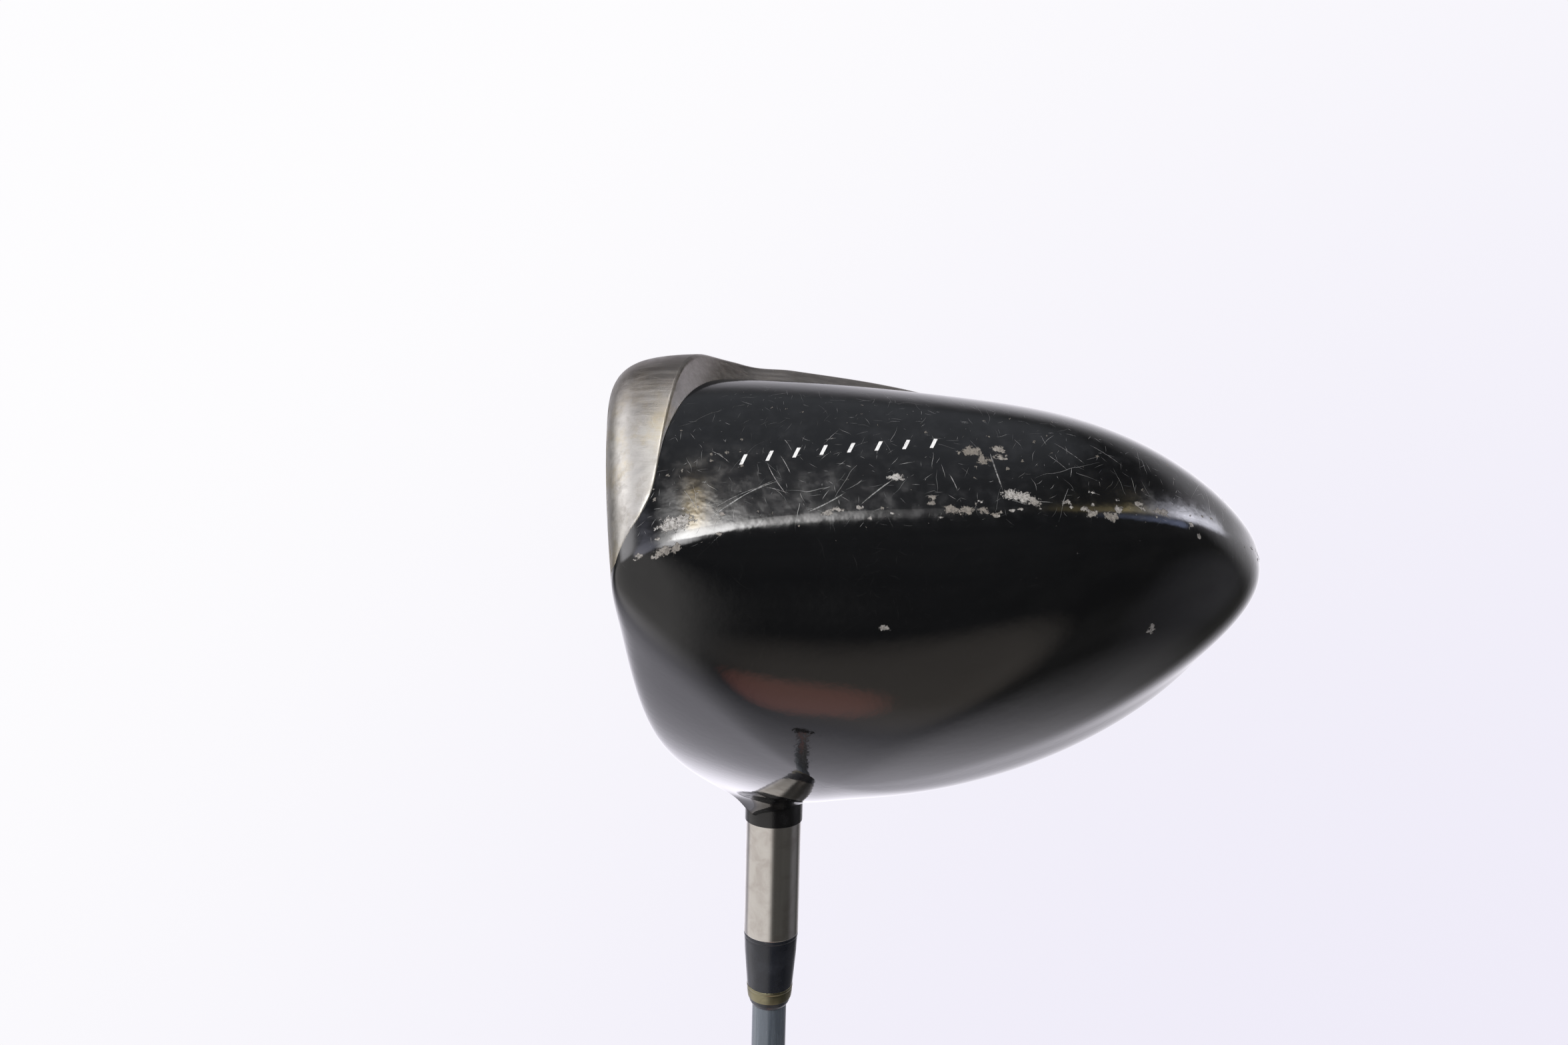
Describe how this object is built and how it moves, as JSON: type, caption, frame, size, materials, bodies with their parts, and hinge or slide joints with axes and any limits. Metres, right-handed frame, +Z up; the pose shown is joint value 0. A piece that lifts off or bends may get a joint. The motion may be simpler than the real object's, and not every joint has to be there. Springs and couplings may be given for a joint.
{
  "type": "golf driver",
  "caption": "Golf driver with a hollow welded titanium head, black crown and skirt, bare raised sole plate, tapered ferrule, graphite shaft and rubber grip.",
  "frame": {"origin": "centre of the butt end, at the mouth of the vent hole in the grip cap", "axes": "+Z up the shaft from the butt to the head, +X towards the back of the head (the face looks along -X), -Y towards the toe and the crown"},
  "size_m": [0.1174, 0.1094, 1.1829],
  "materials": {
    "bare_titanium": "satin bare metal, stained brown and yellow",
    "skirt_paint": "semi-gloss black, scratched and chipped",
    "crown_paint": "high-gloss black under clear coat",
    "neck_metal": "satin, turned",
    "collar_paint": "semi-gloss black",
    "weld_metal": "as welded",
    "ferrule_plastic": "polished black",
    "trim_gold": "dull gold",
    "shaft_paint": "blue-grey metallic lacquer over graphite",
    "band_paint": "silver lacquer",
    "glue": "cured glue",
    "brass_weight": "plain",
    "cork": "pressed cork",
    "tape": "paper tape",
    "grip_rubber": "matt, moulded texture",
    "cap_rubber": "matt"
  },
  "bodies": {
    "root": {"face_plate": "bare_titanium", "sole_plate": "bare_titanium", "skirt_shell": "skirt_paint", "crown_shell": "crown_paint", "hosel_tube": "neck_metal", "collar_ring": "collar_paint", "seam_weld": "weld_metal", "face_weld": "weld_metal", "sole_ribs": "bare_titanium", "rear_weight": "weld_metal", "hot_melt_pad": "glue", "bore_plug": "ferrule_plastic", "epoxy_bond": "glue", "tip_weight": "brass_weight", "tip_plug": "cork", "ferrule": "ferrule_plastic", "ferrule_ring": "trim_gold", "shaft": "shaft_paint", "shaft_bands": "band_paint", "grip_tape": "tape", "grip": "grip_rubber", "grip_cap": "cap_rubber"}
  },
  "joints": []
}
